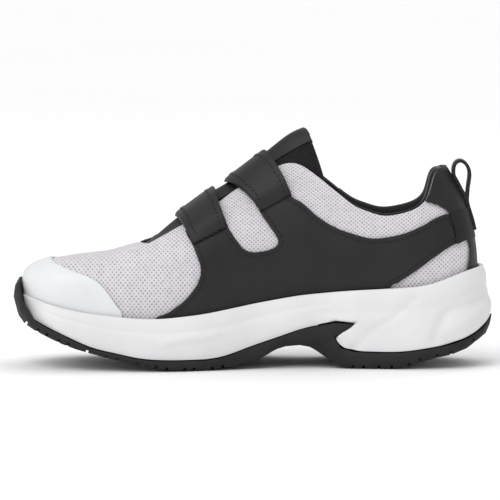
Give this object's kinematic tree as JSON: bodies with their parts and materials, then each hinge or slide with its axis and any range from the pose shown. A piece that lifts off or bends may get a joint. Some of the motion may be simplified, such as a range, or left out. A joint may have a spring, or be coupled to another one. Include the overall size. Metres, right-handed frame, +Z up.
{
  "type": "outdoor shoe",
  "caption": "Low walking shoe for the right foot: knit upper, hook-and-loop straps over a padded tongue, foam midsole, lugged rubber outsole.",
  "frame": {"origin": "on the floor under the middle of the shoe's length and of its sole's width", "axes": "+X towards the heel, -X towards the toe, -Y the inner (medial) side, +Z up"},
  "size_m": [0.2744, 0.0992, 0.1352],
  "materials": {
    "outsole": "moulded matt black rubber",
    "midsole": "moulded white foam with a soft sheen",
    "insole": "dark brushed fabric over foam",
    "upper": "light grey knit mesh with small pinholes",
    "toe_cap": "smooth white synthetic leather",
    "saddle_medial": "smooth charcoal synthetic leather",
    "saddle_lateral": "smooth charcoal synthetic leather",
    "heel_counter": "smooth charcoal synthetic leather",
    "collar_lining": "black padded mesh lining",
    "tongue": "black padded mesh with a smooth face strip",
    "strap_front": "smooth charcoal synthetic leather, stitched edge",
    "strap_rear": "smooth charcoal synthetic leather, stitched edge",
    "pull_loop": "black ribbed webbing"
  },
  "bodies": {
    "root": {"outsole": "outsole", "midsole": "midsole", "insole": "insole", "upper": "upper", "toe_cap": "toe_cap", "saddle_medial": "saddle_medial", "saddle_lateral": "saddle_lateral", "heel_counter": "heel_counter", "collar_lining": "collar_lining", "tongue": "tongue", "strap_front": "strap_front", "strap_rear": "strap_rear", "pull_loop": "pull_loop"}
  },
  "joints": []
}
